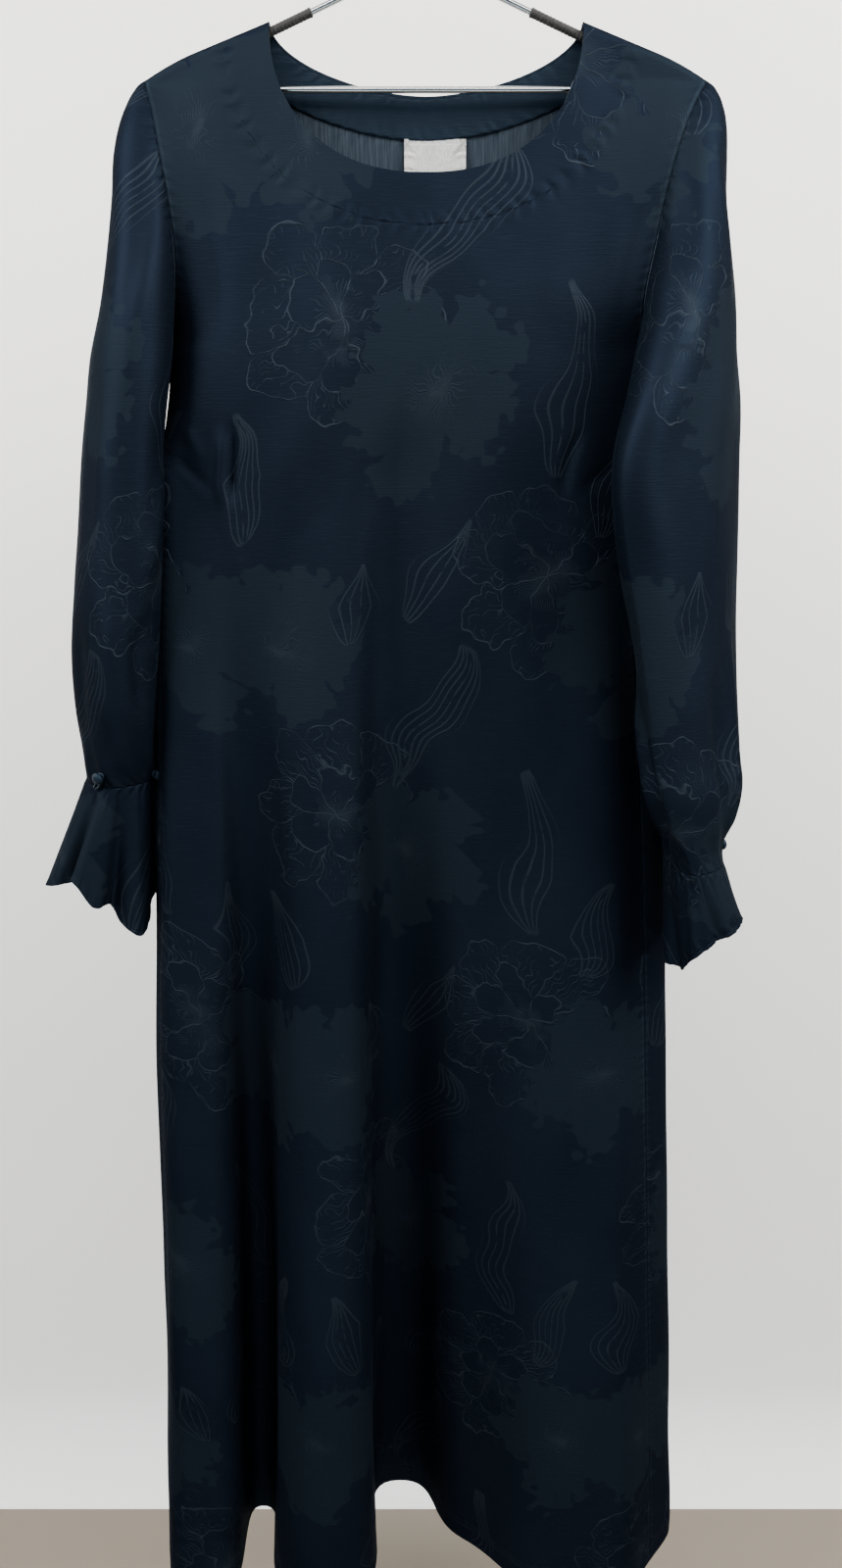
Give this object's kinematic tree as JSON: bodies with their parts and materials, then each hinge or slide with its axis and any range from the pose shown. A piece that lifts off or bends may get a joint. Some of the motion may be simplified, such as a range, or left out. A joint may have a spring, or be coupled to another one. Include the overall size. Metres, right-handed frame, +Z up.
{
  "type": "abaya dress on wire hanger",
  "caption": "Long closed abaya dress with scooped neck and frilled cuffs, hung empty on a chrome wire hanger with rubber grips.",
  "frame": {"origin": "inner top of the hanger's hook, where a rail carries it", "axes": "+Z up along the hanging length, -Y towards the front of the dress, +X to the viewer's right seen from the front"},
  "size_m": [0.582, 0.2399, 1.4546],
  "materials": {
    "abaya_cloth": "black satin crepe with a tone-on-tone floral jacquard",
    "facing_cloth": "matt wrong side of the same crepe",
    "label_cloth": "bare pale woven satin label",
    "chrome": "polished chrome wire",
    "rubber": "matt black anti-slip rubber"
  },
  "bodies": {
    "root": {"hanger_frame": "chrome", "hanger_hook": "chrome", "left_grip": "rubber", "right_grip": "rubber", "front_panel": "abaya_cloth", "back_panel": "abaya_cloth", "back_neck_facing": "facing_cloth", "front_neck_facing": "facing_cloth", "neck_label": "label_cloth", "left_sleeve": "abaya_cloth", "left_frill": "abaya_cloth", "left_button_1": "abaya_cloth", "left_loop_1": "abaya_cloth", "left_button_2": "abaya_cloth", "left_loop_2": "abaya_cloth", "right_sleeve": "abaya_cloth", "right_frill": "abaya_cloth", "right_button_1": "abaya_cloth", "right_loop_1": "abaya_cloth", "right_button_2": "abaya_cloth", "right_loop_2": "abaya_cloth"}
  },
  "joints": []
}
